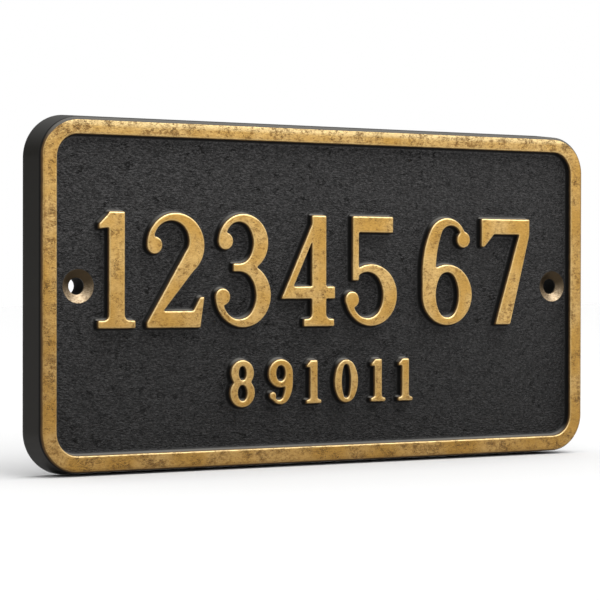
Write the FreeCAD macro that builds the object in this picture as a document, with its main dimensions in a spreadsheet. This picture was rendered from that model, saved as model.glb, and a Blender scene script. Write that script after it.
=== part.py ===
"""A cast house number plaque.

One casting: a slab with tapered sides, a raised rim round a sunk field, two rows of
raised numerals with bracketed feet and ball ends, and two countersunk screw holes.

Millimetres. X runs along the plaque and Z up. The wall is the plane Y = 0, so the
front looks towards -Y. The origin is midway between the screw holes, on the wall.
"""

import FreeCAD, Part
import math
import os
import Sketcher
from FreeCAD import Vector

doc = FreeCAD.newDocument("plaque")

# Driving dimensions
SIZES = {
    # the slab, measured at its front as if the edges there were sharp
    "face_width": 210.0,
    "face_height": 110.2,
    "corner_radius": 12.5,
    "depth": 11.7,
    "wall_draft": 6.4,
    "edge_round": 1.2,
    # the raised rim and the field sunk behind it
    "rim_width": 5.1,
    "relief": 2.5,
    "relief_draft": 12.0,
    "cove_radius": 0.8,
    "rim_edge": 0.3,
    # the screw holes: how far in from the slab's sides, and how far above its middle
    "left_inset": 13.45,
    "right_inset": 11.55,
    "hole_rise": 2.7,
    "bore": 5.4,
    "sink_width": 10.4,
    "sink_angle": 120.0,
    # the large row of numerals, placed from the middle of the slab
    "large_height": 36.4,
    "large_width": 20.6,
    "large_one_width": 13.0,
    "large_stem": 5.5,
    "large_hair": 2.4,
    "large_serif": 2.3,
    "large_bracket": 1.7,
    "large_ball": 2.7,
    "large_slab": 5.2,
    "large_bowl": 10.2,
    "large_gap": 4.1,
    "large_word_gap": 10.4,
    "large_right": -2.0,
    "large_base": -10.4,
    # the small row below it
    "small_height": 14.1,
    "small_width": 9.2,
    "small_one_width": 5.8,
    "small_stem": 2.8,
    "small_hair": 1.3,
    "small_serif": 1.1,
    "small_bracket": 0.8,
    "small_ball": 1.25,
    "small_slab": 2.1,
    "small_bowl": 4.0,
    "small_gap": 5.2,
    "small_right": -3.0,
    "row_gap": 11.3,
    # how far a numeral's foot runs on into the slab, so that the two are one metal
    "numeral_root": 0.5,
}
LARGE_TEXT = "12345 67"
SMALL_TEXT = "891011"

sheet = doc.addObject("Spreadsheet::Sheet", "dimensions")
for row, (alias, value) in enumerate(SIZES.items(), start=1):
    sheet.set("A%d" % row, alias)
    sheet.set("B%d" % row, str(value))
    sheet.setAlias("B%d" % row, alias)
doc.recompute()


def size(alias):
    return float(sheet.get(alias))


# The origin is midway between the holes, so the slab's middle lies to its left
hole_spacing = size("face_width") - size("left_inset") - size("right_inset")
middle_x = (size("right_inset") - size("left_inset")) / 2
middle_z = -size("hole_rise")


# The slab with its rim, field and screw holes
slab = doc.addObject("PartDesign::Body", "slab")
wall_plane = [plane for plane in slab.Origin.OriginFeatures if plane.Role == "XZ_Plane"][0]


def sketch_before_wall(name, distance):
    """A sketch parallel to the wall and in front of it by a rule on the sheet."""
    sketch = slab.newObject("Sketcher::SketchObject", name)
    sketch.AttachmentSupport = [(wall_plane, "")]
    sketch.MapMode = "FlatFace"
    sketch.setExpression("AttachmentOffset.Base.z", distance)
    return sketch


def bind(sketch, name, rule, *constraint):
    """Add a named dimension to a sketch and tie it to a rule on the sheet."""
    index = sketch.addConstraint(Sketcher.Constraint(*constraint))
    sketch.renameConstraint(index, name)
    sketch.setExpression("Constraints." + name, rule)


to_middle = "(dimensions.left_inset - dimensions.right_inset) / 2"


def rounded_rectangle(sketch, inset):
    """The slab's rounded rectangle, moved in on every side by an alias, or by 0."""
    by = size(inset) if inset in SIZES else 0.0
    rule = "dimensions." + inset if inset in SIZES else "0"
    half_w, half_h = size("face_width") / 2 - by, size("face_height") / 2 - by
    radius = size("corner_radius") - by
    arcs = []
    for side, up, start in ((1, -1, 270), (1, 1, 0), (-1, 1, 90), (-1, -1, 180)):
        centre = Vector(middle_x + side * (half_w - radius), middle_z + up * (half_h - radius), 0)
        circle = Part.Circle(centre, Vector(0, 0, 1), radius)
        quarter = Part.ArcOfCircle(circle, math.radians(start), math.radians(start + 90))
        arcs.append(sketch.addGeometry(quarter, False))
    lines = []
    for arc, after in zip(arcs, arcs[1:] + arcs[:1]):
        straight = Part.LineSegment(sketch.getPoint(arc, 2), sketch.getPoint(after, 1))
        line = sketch.addGeometry(straight, False)
        sketch.addConstraint(Sketcher.Constraint("Tangent", arc, 2, line, 1))
        sketch.addConstraint(Sketcher.Constraint("Tangent", line, 2, after, 1))
        lines.append(line)
    right, top, left, bottom = lines
    for line in (right, left):
        sketch.addConstraint(Sketcher.Constraint("Vertical", line))
    for line in (top, bottom):
        sketch.addConstraint(Sketcher.Constraint("Horizontal", line))
    for arc in arcs[1:]:
        sketch.addConstraint(Sketcher.Constraint("Equal", arcs[0], arc))
    width, height = "dimensions.face_width", "dimensions.face_height"
    bind(sketch, "corner", "dimensions.corner_radius - " + rule, "Radius", arcs[0], radius)
    bind(sketch, "across", width + " - 2 * " + rule, "DistanceX", left, 1, right, 1, 2 * half_w)
    bind(sketch, "upright", height + " - 2 * " + rule, "DistanceY", bottom, 1, top, 1, 2 * half_h)
    bind(sketch, "to_left", width + " / 2 - " + rule + " + " + to_middle,
         "DistanceX", left, 1, -1, 1, half_w - middle_x)
    bind(sketch, "to_bottom", height + " / 2 - " + rule + " + dimensions.hole_rise",
         "DistanceY", bottom, 1, -1, 1, half_h - middle_z)


def edges_at(feature, y, inside):
    """The names of a feature's edges in the plane at y: its inner or its outer loop."""
    names, same = [], 1e-6
    rim_x = (size("face_width") - size("rim_width")) / 2
    rim_z = (size("face_height") - size("rim_width")) / 2
    for number, edge in enumerate(feature.Shape.Edges, start=1):
        box = edge.BoundBox
        if abs(box.YMin - y) > same or abs(box.YMax - y) > same:
            continue
        reach_x = max(abs(box.XMax - middle_x), abs(box.XMin - middle_x))
        reach_z = max(abs(box.ZMax - middle_z), abs(box.ZMin - middle_z))
        if (reach_x < rim_x and reach_z < rim_z) == inside:
            names.append("Edge%d" % number)
    return names


def round_off(name, base, y, inside, alias):
    """A fillet round one loop of edges, bound to a radius on the sheet."""
    fillet = slab.newObject("PartDesign::Fillet", name)
    fillet.Base = (base, edges_at(base, y, inside))
    fillet.setExpression("Radius", "dimensions." + alias)
    doc.recompute()
    return fillet


front_y = -size("depth")
field_y = front_y + size("relief")

slab_outline = sketch_before_wall("slab_outline", "dimensions.depth")
rounded_rectangle(slab_outline, "")
doc.recompute()
slab_pad = slab.newObject("PartDesign::Pad", "slab_pad")
slab_pad.Profile = slab_outline
slab_pad.Reversed = True
slab_pad.setExpression("Length", "dimensions.depth")
slab_pad.setExpression("TaperAngle", "dimensions.wall_draft")
doc.recompute()

field_outline = sketch_before_wall("field_outline", "dimensions.depth")
rounded_rectangle(field_outline, "rim_width")
doc.recompute()
field = slab.newObject("PartDesign::Pocket", "field")
field.Profile = field_outline
field.setExpression("Length", "dimensions.relief")
field.setExpression("TaperAngle", "-dimensions.relief_draft")
doc.recompute()

field_cove = round_off("field_cove", field, field_y, True, "cove_radius")
outer_round = round_off("outer_round", field_cove, front_y, False, "edge_round")
inner_round = round_off("inner_round", outer_round, front_y, True, "rim_edge")

hole_centres = sketch_before_wall("hole_centres", "dimensions.depth - dimensions.relief")
half_spacing = "(dimensions.face_width - dimensions.left_inset - dimensions.right_inset) / 2"
for side, name in ((-1, "left"), (1, "right")):
    centre = Vector(side * hole_spacing / 2, 0, 0)
    circle = hole_centres.addGeometry(Part.Circle(centre, Vector(0, 0, 1), size("bore") / 2), False)
    bind(hole_centres, name + "_bore", "dimensions.bore / 2", "Radius", circle, size("bore") / 2)
    ends = (-1, 1, circle, 3) if side > 0 else (circle, 3, -1, 1)
    bind(hole_centres, name + "_place", half_spacing, "DistanceX", *ends, hole_spacing / 2)
    hole_centres.addConstraint(Sketcher.Constraint("PointOnObject", circle, 3, -1))
doc.recompute()
screw_holes = slab.newObject("PartDesign::Hole", "screw_holes")
screw_holes.Profile = hole_centres
doc.recompute()
screw_holes.DepthType = "ThroughAll"
screw_holes.HoleCutType = "Countersink"
screw_holes.HoleCutCustomValues = True
screw_holes.setExpression("Diameter", "dimensions.bore")
screw_holes.setExpression("HoleCutDiameter", "dimensions.sink_width")
screw_holes.setExpression("HoleCutCountersinkAngle", "dimensions.sink_angle")
doc.recompute()


# The numerals. Each stroke is a solid whose outline lies in the front plane, here
# y = 0, and spreads by the draft towards the wall. A hollow narrows instead.
slope = math.tan(math.radians(size("relief_draft")))
root = size("relief") + size("numeral_root")
clear = 0.2  # how far a hollow runs past both ends of the strokes that it cuts
past = 1.0  # how far a block that trims a stroke reaches beyond the numeral


def polygon(*points):
    """A convex outline, anticlockwise as seen from the front."""

    def wire(y, grow):
        corners = []
        for before, here, after in zip(points[-1:] + points[:-1], points, points[1:] + points[:1]):
            come = math.atan2(here[1] - before[1], here[0] - before[0])
            leave = math.atan2(after[1] - here[1], after[0] - here[0])
            half_turn = ((leave - come) % (2 * math.pi)) / 2
            reach = grow / math.cos(half_turn)
            out = come + half_turn
            corners.append(Vector(here[0] + reach * math.sin(out), y, here[1] - reach * math.cos(out)))
        return Part.makePolygon(corners + corners[:1])

    return wire


def block(left, bottom, right, top):
    return polygon((left, bottom), (right, bottom), (right, top), (left, top))


def disc(x, z, radius):
    def wire(y, grow):
        return Part.Wire(Part.Circle(Vector(x, y, z), Vector(0, -1, 0), radius + grow).toShape())

    return wire


def oval(x, z, half_width, half_height):
    """An upright oval of four tangent arcs: two tight ends and two long sides."""
    nearly_round, tightest = 0.02, 0.45
    if half_height - half_width < nearly_round * half_width:
        return disc(x, z, half_width)
    end = half_width * (tightest + (1 - tightest) * half_width / half_height)
    off = half_height - end
    side = (half_width ** 2 + off ** 2 - end ** 2) / (2 * (half_width - end))
    turn = math.atan2(off, side - half_width)

    def wire(y, grow):
        across = (end + grow) * math.cos(turn)
        up = off + (end + grow) * math.sin(turn)
        wide, tall = half_width + grow, half_height + grow
        stops = [(across, -up), (wide, 0), (across, up), (0, tall), (-across, up),
                 (-wide, 0), (-across, -up), (0, -tall), (across, -up)]
        at = [Vector(x + u, y, z + v) for u, v in stops]
        return Part.Wire([Part.Arc(*at[i:i + 3]).toShape() for i in (0, 2, 4, 6)])

    return wire


def stroke(outline):
    """Metal under an outline, from the front plane to its root in the slab."""
    return Part.makeLoft([outline(0, 0), outline(root, root * slope)], True, True)


def through(outline, sign):
    ends = [outline(y, sign * y * slope) for y in (-clear, root + clear)]
    return Part.makeLoft(ends, True, True)


def hollow(outline):
    """A tool for an opening, which narrows towards the wall."""
    return through(outline, -1)


def reach_of(outline):
    """A tool that keeps what lies inside an outline, which spreads towards the wall."""
    return through(outline, 1)


def joined(*parts):
    return parts[0].multiFuse(list(parts[1:])).removeSplitter()


def bowl(x, z, half_width, half_height, left, right, cap):
    """A round stroke that is left wide, right wide, and cap thick at top and bottom."""
    inner = oval(x + (left - right) / 2, z, half_width - (left + right) / 2, half_height - cap)
    return stroke(oval(x, z, half_width, half_height)).cut(hollow(inner))


class Hand:
    """The stroke sizes of one row of numerals, read from the sheet by their prefix."""

    def __init__(self, row_name):
        for alias in SIZES:
            if alias.startswith(row_name + "_"):
                setattr(self, alias[len(row_name) + 1:], size(alias))


def upright(hand, x):
    return stroke(block(x - hand.stem / 2, 0, x + hand.stem / 2, hand.height))


def foot(hand, x, width):
    """A foot slab with a hollow bracket between it and each side of the stem."""
    parts = [stroke(block(x - width / 2, 0, x + width / 2, hand.serif))]
    r = hand.bracket
    for side in (-1, 1):
        near = x + side * hand.stem / 2
        far = near + side * r
        corner = Part.makeBox(r, root, r, Vector(min(near, far), 0, hand.serif))
        parts.append(corner.cut(hollow(disc(far, hand.serif + r, r))))
    return parts


def one(hand):
    x = hand.one_width / 2
    left, tip = x - hand.stem / 2, 0.02 * hand.one_width
    drop = hand.height - 0.75 * hand.slab
    flag = polygon((tip, drop - 0.6 * hand.serif), (x, drop - 0.3 * hand.serif),
                   (x, hand.height), (left, hand.height - 0.1 * hand.slab), (tip, drop))
    return joined(upright(hand, x), stroke(flag), *foot(hand, x, hand.one_width))


def touch(start, centre, radius, further):
    """Where the right-hand tangent from a point meets a circle, and a point further on."""
    across, up = centre[0] - start[0], centre[1] - start[1]
    lean = math.atan2(up, across) - math.asin(radius / math.hypot(across, up))
    run = math.sqrt(across ** 2 + up ** 2 - radius ** 2)
    return [(start[0] + far * math.cos(lean), start[1] + far * math.sin(lean))
            for far in (run, run + further)]


def two(hand):
    r = hand.width / 2
    z = hand.height - r
    extra = (hand.stem - hand.hair) / 2
    inner = (r - extra, z + extra)
    inner_r = r - (hand.stem + hand.hair) / 2
    ring = stroke(disc(r, z, r)).cut(hollow(disc(*inner, inner_r)))
    # the diagonal bites a little into both rounds, so that it crosses them cleanly
    bite = 0.02
    foot_left, foot_right = (0.0, 0.3 * hand.slab), (0.28 * hand.width, hand.slab)
    end_left, high_left = touch(foot_left, inner, inner_r * (1 - bite), inner_r / 3)
    high_right, end_right = touch(foot_right, (r, z), r * (1 - bite), -r / 3)
    top, right = hand.height + past, hand.width + past
    kept = joined(
        reach_of(block(-past, z, end_left[0] + hand.hair, top)),
        reach_of(polygon(end_left, end_right, (right, end_right[1]), (right, top),
                         (end_left[0], top))))
    tip = 0.93 * hand.width
    return joined(
        ring.common(kept),
        stroke(disc(hand.ball, z, hand.ball)),
        stroke(polygon(foot_left, foot_right, high_right, high_left)),
        stroke(polygon((0, 0), (foot_right[0], 0), foot_right, foot_left)),
        stroke(block(foot_right[0] - hand.hair, 0, tip, hand.slab)),
        stroke(polygon((0.75 * hand.width, 0.6 * hand.slab), (tip, 0),
                       (hand.width, 1.85 * hand.slab), (tip, 1.85 * hand.slab))))


def rounds(hand):
    """Half sizes of the two stacked rounds of a 3 or an 8, which share a hair."""
    low = hand.bowl
    high = (hand.height + hand.hair) / 2 - low
    return low, high, hand.width / 2 * high / low


def three(hand):
    x = hand.width / 2
    low, high, wide = rounds(hand)
    low_end, high_end = 0.95 * low, hand.height - 0.95 * high
    mouth = hollow(block(-past, low_end, 0.42 * hand.width, high_end))
    waist = 2 * low
    return joined(
        bowl(x, low, x, low, hand.hair, hand.stem, hand.hair).cut(mouth),
        bowl(x, hand.height - high, wide, high, hand.hair, hand.stem, hand.hair).cut(mouth),
        stroke(block(0.32 * hand.width, waist - hand.hair, 0.6 * hand.width, waist)),
        stroke(disc(hand.ball, low_end, hand.ball)),
        stroke(disc(x - wide + hand.ball, high_end, hand.ball)))


def four(hand):
    x = 0.7 * hand.width
    left = x - hand.stem / 2
    bar_low = hand.height / 4
    bar_high = bar_low + 0.75 * hand.slab
    peak = left + hand.stem / 4
    steep = (hand.height - bar_low) / peak
    in_by = hand.hair * math.hypot(1, steep) / steep
    sail = polygon((0, bar_low), (x, bar_low), (x, hand.height), (peak, hand.height))
    counter = polygon((in_by + (bar_high - bar_low) / steep, bar_high), (left, bar_high),
                      (left, bar_low + (left - in_by) * steep))
    return joined(
        stroke(sail).cut(hollow(counter)),
        upright(hand, x),
        stroke(block(x, bar_low, hand.width, bar_high)),
        *foot(hand, x, hand.one_width * 0.9))


def five(hand):
    x, low = hand.width / 2, hand.bowl
    end = 0.85 * low
    left = 0.14 * hand.width
    neck = 2 * low - 1.6 * hand.hair
    ring = bowl(x, low, x, low, hand.hair, hand.stem, hand.hair)
    ring = ring.cut(hollow(block(-past, end, 0.375 * hand.width, neck)))
    ring = ring.cut(hollow(block(-past, end, left, 2 * low + past)))
    return joined(
        ring,
        stroke(disc(hand.ball, end, hand.ball)),
        stroke(block(left, 2 * low - 2.2 * hand.hair, left + hand.hair, hand.height)),
        stroke(block(left, hand.height - hand.slab, 0.92 * hand.width, hand.height)))


def six(hand):
    x, low = hand.width / 2, hand.bowl
    half = hand.height / 2
    end = 0.8 * hand.height
    top, right = hand.height + past, hand.width + past
    overlap = 0.1
    kept = joined(
        reach_of(block(-past, half, x, top)),
        reach_of(block(x - overlap, end, right, top)))
    return joined(
        bowl(x, half, x, half, hand.stem, hand.hair, hand.hair).common(kept),
        stroke(disc(0.96 * hand.width - hand.ball, end, hand.ball)),
        stroke(block(0, low, hand.stem, half)),
        bowl(x, low, x, low, hand.stem, hand.stem, hand.hair))


def seven(hand):
    low = hand.height - hand.slab
    tip = low - 0.85 * hand.slab
    right = 0.6 * hand.width
    left = right - 1.15 * hand.stem
    return joined(
        stroke(block(0, low, hand.width, hand.height)),
        stroke(polygon((0, tip), (0.06 * hand.width, tip), (0.26 * hand.width, low),
                       (0.2 * hand.width, hand.height), (0, hand.height))),
        stroke(polygon((left, 0), (right, 0), (hand.width, low),
                       (hand.width, low + hand.hair), (hand.width - 1.5 * hand.hair, low + hand.hair))))


def eight(hand):
    x = hand.width / 2
    low, high, wide = rounds(hand)
    low_hole = oval(x, low, x - hand.stem, low - hand.hair)
    high_hole = oval(x, hand.height - high, wide - hand.stem, high - hand.hair)
    pair = joined(stroke(oval(x, low, x, low)), stroke(oval(x, hand.height - high, wide, high)))
    return pair.cut(hollow(low_hole)).cut(hollow(high_hole))


def nine(hand):
    turned = six(hand)
    turned.rotate(Vector(hand.width / 2, 0, hand.height / 2), Vector(0, 1, 0), 180)
    return turned


def zero(hand):
    x, half = hand.width / 2, hand.height / 2
    return bowl(x, half, x, half, hand.stem, hand.stem, hand.hair)


DIGITS = [zero, one, two, three, four, five, six, seven, eight, nine]


def width_of(hand, letter):
    if letter == " ":
        return hand.word_gap - 2 * hand.gap
    return hand.one_width if letter == "1" else hand.width


def set_row(row_name, text, base):
    """One row of numerals, centred on its place, standing on a line at height base."""
    hand = Hand(row_name)
    widths = [width_of(hand, letter) for letter in text]
    x = middle_x + hand.right - (sum(widths) + hand.gap * (len(text) - 1)) / 2
    row, no_turn = [], FreeCAD.Rotation()
    for place, (letter, width) in enumerate(zip(text, widths), start=1):
        if letter != " ":
            numeral = doc.addObject("Part::Feature", "%s_%d_figure_%s" % (row_name, place, letter))
            numeral.Shape = DIGITS[int(letter)](hand)
            in_row = FreeCAD.Placement(Vector(x, front_y, middle_z + base), no_turn)
            numeral.Placement = in_row * numeral.Shape.Placement
            row.append(numeral)
        x += width + hand.gap
    return row


large_row = set_row("large", LARGE_TEXT, size("large_base"))
small_base = size("large_base") - size("row_gap") - size("small_height")
small_row = set_row("small", SMALL_TEXT, small_base)

# The casting: slab and numerals as one solid
casting = doc.addObject("Part::MultiFuse", "cast_plaque")
casting.Shapes = [slab] + large_row + small_row
casting.Refine = True
casting.Label = "cast_plaque"
doc.recompute()

for item in doc.Objects:
    if "Invalid" in item.State or "Error" in item.State:
        raise RuntimeError("%s failed: %s" % (item.Name, item.State))
if casting.Shape.isNull() or not casting.Shape.isValid() or len(casting.Shape.Solids) != 1:
    raise RuntimeError("the casting is not one valid solid")

os.makedirs("parts", exist_ok=True)
casting.Shape.exportStep("parts/%s.step" % casting.Label)
box = casting.Shape.optimalBoundingBox(True, False)
print("cast_plaque: %.1f x %.1f x %.1f mm, %.0f mm3, %d faces"
      % (box.XLength, box.YLength, box.ZLength, casting.Shape.Volume, len(casting.Shape.Faces)))
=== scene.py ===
# %% [markdown]
# This lesson dresses a house number plaque that was sand cast in brass, blackened all
# over, and then rubbed back on its rim and numerals until the metal shows. The packed
# model gives every size and place. It is loaded first and never moved.

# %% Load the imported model
import math
import random

import bmesh
import bpy
import numpy as np
from mathutils import Matrix, Vector, noise
from mathutils.geometry import delaunay_2d_cdt
from mathutils.kdtree import KDTree

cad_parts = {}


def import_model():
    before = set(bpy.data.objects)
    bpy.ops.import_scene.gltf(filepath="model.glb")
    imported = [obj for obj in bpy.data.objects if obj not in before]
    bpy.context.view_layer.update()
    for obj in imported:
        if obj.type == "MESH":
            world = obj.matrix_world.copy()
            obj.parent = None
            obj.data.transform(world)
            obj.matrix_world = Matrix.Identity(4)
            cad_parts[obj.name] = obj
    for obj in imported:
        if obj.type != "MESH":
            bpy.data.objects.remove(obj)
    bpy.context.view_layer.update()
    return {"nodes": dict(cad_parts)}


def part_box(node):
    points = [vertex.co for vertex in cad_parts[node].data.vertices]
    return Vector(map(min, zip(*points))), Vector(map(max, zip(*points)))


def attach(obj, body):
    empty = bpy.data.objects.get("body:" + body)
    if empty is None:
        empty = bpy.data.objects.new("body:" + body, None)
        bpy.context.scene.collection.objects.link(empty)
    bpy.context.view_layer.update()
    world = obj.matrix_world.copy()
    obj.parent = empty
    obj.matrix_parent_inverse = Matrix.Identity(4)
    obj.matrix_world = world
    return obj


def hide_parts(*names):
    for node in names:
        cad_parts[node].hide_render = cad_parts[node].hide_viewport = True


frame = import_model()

# %% [markdown]
# A photograph is matched from the camera first. This one stands left of the plaque, level
# with its screw holes, and looks a little down. Its place and turn are in the plaque's own
# frame: X along the plaque, Y into the wall, Z up. A long lens keeps the picture flat.

# %% Camera
MM = 0.001
CAMERA_AT = Vector((-392.74, -633.69, 1.9)) * MM
YAW, PITCH, ROLL = (math.radians(angle) for angle in (31.38, -0.503, 0.113))
LENS_MM, SENSOR_MM = 133.26, 36.0

camera_data = bpy.data.cameras.new("camera")
camera_data.lens = LENS_MM
camera_data.sensor_width = SENSOR_MM
camera = bpy.data.objects.new("camera", camera_data)
bpy.context.collection.objects.link(camera)
looking = Vector((
    math.sin(YAW) * math.cos(PITCH), math.cos(YAW) * math.cos(PITCH), math.sin(PITCH)))
level = Vector((math.cos(YAW), -math.sin(YAW), 0.0))
over = level.cross(looking)
right = level * math.cos(ROLL) + over * math.sin(ROLL)
upward = right.cross(looking)
turned = Matrix((right, upward, -looking)).transposed().to_4x4()
camera.matrix_world = Matrix.Translation(CAMERA_AT) @ turned
bpy.context.scene.camera = camera
print("camera at", [round(v, 3) for v in CAMERA_AT], "m")

# %% [markdown]
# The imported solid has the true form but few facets, and cast metal has no sharp edge
# anywhere. The way chosen here is to cut the solid just behind its front with a plane,
# which gives the outlines of the numerals and of the rim. A dense skin is then laid over
# the front, and its height at any point comes from the distance to the nearest outline.
# That gives every edge the same soft shoulder, drafted flank and cove, as a pattern maker
# would cut them.

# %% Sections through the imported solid
SECTION_BELOW_FRONT = 0.35
SAME_PLACE = 1e-6
node = frame["nodes"]["cast_plaque"]
box_low, box_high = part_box("cast_plaque")
FRONT, WALL = box_low[1] / MM, box_high[1] / MM


def section(y):
    """The closed loops, in mm as (x, z) rows, where the solid crosses the plane at y."""
    work = bmesh.new()
    work.from_mesh(node.data)
    bmesh.ops.remove_doubles(work, verts=work.verts, dist=SAME_PLACE)
    every = work.verts[:] + work.edges[:] + work.faces[:]
    cut = bmesh.ops.bisect_plane(
        work, geom=every, plane_co=(0, y * MM, 0), plane_no=(0, 1, 0), dist=1e-8)
    beside = {}
    for edge in (part for part in cut["geom_cut"] if isinstance(part, bmesh.types.BMEdge)):
        for here, there in (edge.verts, reversed(edge.verts)):
            beside.setdefault(here, []).append(there)
    loops, seen = [], set()
    for start in beside:
        if start in seen:
            continue
        loop, last, here = [], None, start
        while here not in seen:
            seen.add(here)
            loop.append((here.co.x / MM, here.co.z / MM))
            onward = [vert for vert in beside[here] if vert is not last and vert not in seen]
            last, here = here, (onward or [start])[0]
        loops.append(np.array(loop))
    work.free()
    return loops


def area(loop):
    """The area inside a loop, negative if the loop runs clockwise."""
    x, z = loop[:, 0], loop[:, 1]
    return float(np.sum(x * np.roll(z, -1) - np.roll(x, -1) * z) / 2)


print("front at", round(FRONT, 2), "and wall at", round(WALL, 2), "mm")

# %% [markdown]
# The field's depth isn't typed in. It is the level, away from the front and the wall, at
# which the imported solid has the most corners. One cut just below the front gives the slab,
# the rim's inner edge and the numerals, in falling order of area. One cut beside the wall
# gives the slab and its two bores.

# %% Loops of the front and of the wall
CLEAR_OF_FACES, SECTION_OFF_WALL = 1.0, 0.02
heights_in_solid = [round(vert.co.y / MM, 2) for vert in node.data.vertices]
levels, counts = np.unique(heights_in_solid, return_counts=True)
between = (levels > FRONT + CLEAR_OF_FACES) & (levels < WALL - CLEAR_OF_FACES)
FIELD = float(levels[between][np.argmax(counts[between])])
RELIEF = FIELD - FRONT


def by_area(loops):
    return sorted(loops, key=lambda loop: -abs(area(loop)))


front_loops = by_area(section(FRONT + SECTION_BELOW_FRONT))
back_loops = by_area(section(WALL - SECTION_OFF_WALL))
print("relief", round(RELIEF, 2), "mm;", len(front_loops), "loops in front,", len(back_loops), "behind")

# %% [markdown]
# A facetted circle becomes round again if a smooth curve is passed through its corners.
# Every corner that turns a little is taken as smooth and every one that turns a lot stays
# a corner, because the solid's arcs were cut into small turns. The curve between two
# corners is the cubic that starts and ends along their tangents.

# %% Round curves through the corners
CORNER_TURN = math.radians(24)
SHORTEST_SIDE = 0.03
FINE_STEP = 0.15


def rows_length(rows):
    """The length of each row of x and z."""
    return np.hypot(*rows.T)


def after(loop):
    """The loop's points again, each in the place of the one before it."""
    return np.roll(loop, -1, axis=0)


def before(loop):
    """The loop's points again, each in the place of the one after it."""
    return np.roll(loop, 1, axis=0)


def evenly(run, step):
    """Points a step apart along a run of points, without its last one."""
    along = np.concatenate(([0], np.cumsum(rows_length(np.diff(run, axis=0)))))
    count = max(1, round(along[-1] / step))
    spots = np.arange(count) * along[-1] / count
    return np.column_stack([np.interp(spots, along, run[:, axis]) for axis in (0, 1)])


def smooth_outline(loop, step):
    """The loop again, with its arcs made round and its points about a step apart."""
    loop = loop[rows_length(after(loop) - loop) > SHORTEST_SIDE]
    sides = after(loop) - loop
    lengths = rows_length(sides)
    ways = sides / lengths[:, None]
    turns = np.arccos(np.clip(np.sum(ways * before(ways), axis=1), -1, 1))
    mixed = ways * lengths[:, None] + before(ways) * before(lengths)[:, None]
    tangents = mixed / rows_length(mixed)[:, None]
    corner = turns > CORNER_TURN
    curve, corners = [], []
    for i in range(len(loop)):
        j = (i + 1) % len(loop)
        way, length = ways[i], lengths[i]
        leave = tangents[i] if not corner[i] else None
        arrive = tangents[j] if not corner[j] else None
        if leave is None and arrive is None:
            leave = arrive = way
        elif leave is None:
            leave = 2 * np.dot(way, arrive) * way - arrive
        elif arrive is None:
            arrive = 2 * np.dot(way, leave) * way - leave
        if corner[i]:
            corners.append(len(curve))
        pieces = math.ceil(length / FINE_STEP)
        for t in np.arange(pieces) / pieces:
            curve.append(
                (2 * t ** 3 - 3 * t ** 2 + 1) * loop[i] + (t ** 3 - 2 * t ** 2 + t) * length * leave
                + (3 * t ** 2 - 2 * t ** 3) * loop[j] + (t ** 3 - t ** 2) * length * arrive)
    curve, corners = np.array(curve), corners or [0]
    runs = zip(corners, corners[1:] + [corners[0] + len(curve)])
    return np.vstack([
        evenly(curve[np.arange(start, end + 1) % len(curve)], step) for start, end in runs])


print("a corner is a turn of more than", round(math.degrees(CORNER_TURN)), "degrees")

# %% [markdown]
# Every outline is turned so that raised metal lies on its left, which later tells the
# numerals from the field. The eye of a 6 or an 8 lies inside its numeral, so its outline
# runs the other way. A little easing rounds the corners, as molten metal does in sand.

# %% Outlines of the rim and of the numerals
STEP = 0.6
CORNER_EASE = 0.35


def directed(loop, metal_inside):
    """Turn a loop so that the raised metal lies on its left."""
    return loop if (area(loop) > 0) == metal_inside else loop[::-1]


def softened(loop, share):
    """Ease each point towards its neighbours."""
    return loop * (1 - share) + (before(loop) + after(loop)) * share / 2


def holds(outer, loop):
    """True if the outer loop goes round the first point of the other one."""
    x, z = loop[0]
    a, b = outer, after(outer)
    crosses = (a[:, 1] > z) != (b[:, 1] > z)
    at = a[:, 0] + (z - a[:, 1]) / np.where(crosses, b[:, 1] - a[:, 1], 1) * (b[:, 0] - a[:, 0])
    return bool(np.sum(crosses & (at > x)) % 2)


glyph_loops = front_loops[2:]
relief_loops = [directed(front_loops[1], False)]
for loop in glyph_loops:
    nested = any(holds(other, loop) for other in glyph_loops if other is not loop)
    relief_loops.append(directed(loop, not nested))
outlines = [softened(smooth_outline(loop, STEP), CORNER_EASE) for loop in relief_loops]
print(len(outlines), "outlines with", sum(map(len, outlines)), "points")

# %% [markdown]
# Distance to an outline is the one measure that the rest is built on. A tree finds the
# nearest of many close points, and the two short sides beside it give the exact distance.
# It is negative on raised metal and positive over the field. Where both sides are equally
# near, at their shared corner, the sum of their two normals tells which side a point is on.

# %% Distance to the nearest outline
def subdivided(loop, step):
    """The loop with more points on its sides, about a step apart."""
    ends = after(loop)
    count = max(1, round(float(np.mean(rows_length(ends - loop))) / step))
    shares = np.arange(count)[None, :, None] / count
    return (loop[:, None] * (1 - shares) + ends[:, None] * shares).reshape(-1, 2)


fine = [subdivided(loop, FINE_STEP) for loop in outlines]
fine_from = np.vstack(fine)
fine_to = np.vstack([after(loop) for loop in fine])
fine_before = np.concatenate([
    np.roll(np.arange(len(loop)), 1) + sum(map(len, fine[:i])) for i, loop in enumerate(fine)])
tree = KDTree(len(fine_from))
for i, (x, z) in enumerate(fine_from):
    tree.insert((x, z, 0.0), i)
tree.balance()


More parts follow.
